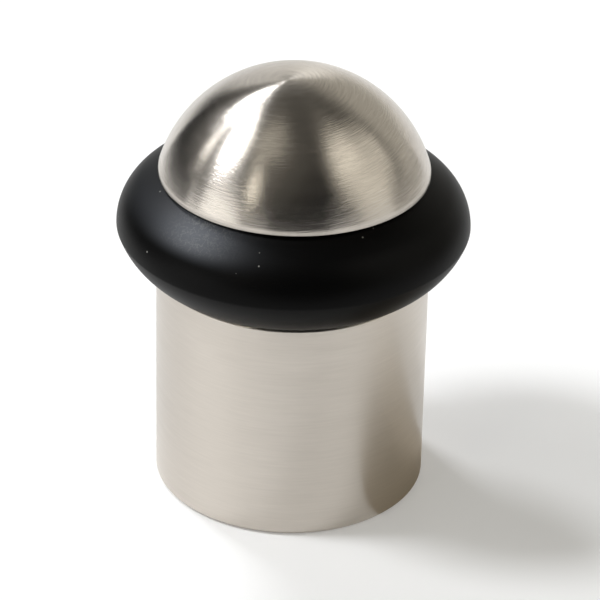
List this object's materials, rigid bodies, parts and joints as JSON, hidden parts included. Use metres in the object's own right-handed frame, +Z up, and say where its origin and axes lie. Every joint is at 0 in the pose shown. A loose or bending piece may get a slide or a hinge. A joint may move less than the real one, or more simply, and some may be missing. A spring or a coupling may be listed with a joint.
{
  "type": "dome door stop",
  "caption": "Round metal floor post with a domed cap and a black rubber ring round its shoulder, tapped in the base so that it can be bolted down.",
  "frame": {"origin": "centre of the base, on the floor", "axes": "+Z up, along the axis that every piece is turned about; X and Y are free, since the stop is round"},
  "size_m": [0.0386, 0.0386, 0.049],
  "materials": {
    "satin_metal": "brushed round the axis, satin, warm grey",
    "black_rubber": "moulded, low sheen",
    "stud_steel": "plain zinc-plated set screw"
  },
  "bodies": {
    "root": {"barrel": "satin_metal", "dome_cap": "satin_metal", "rubber_ring": "black_rubber", "joining_stud": "stud_steel"}
  },
  "joints": []
}
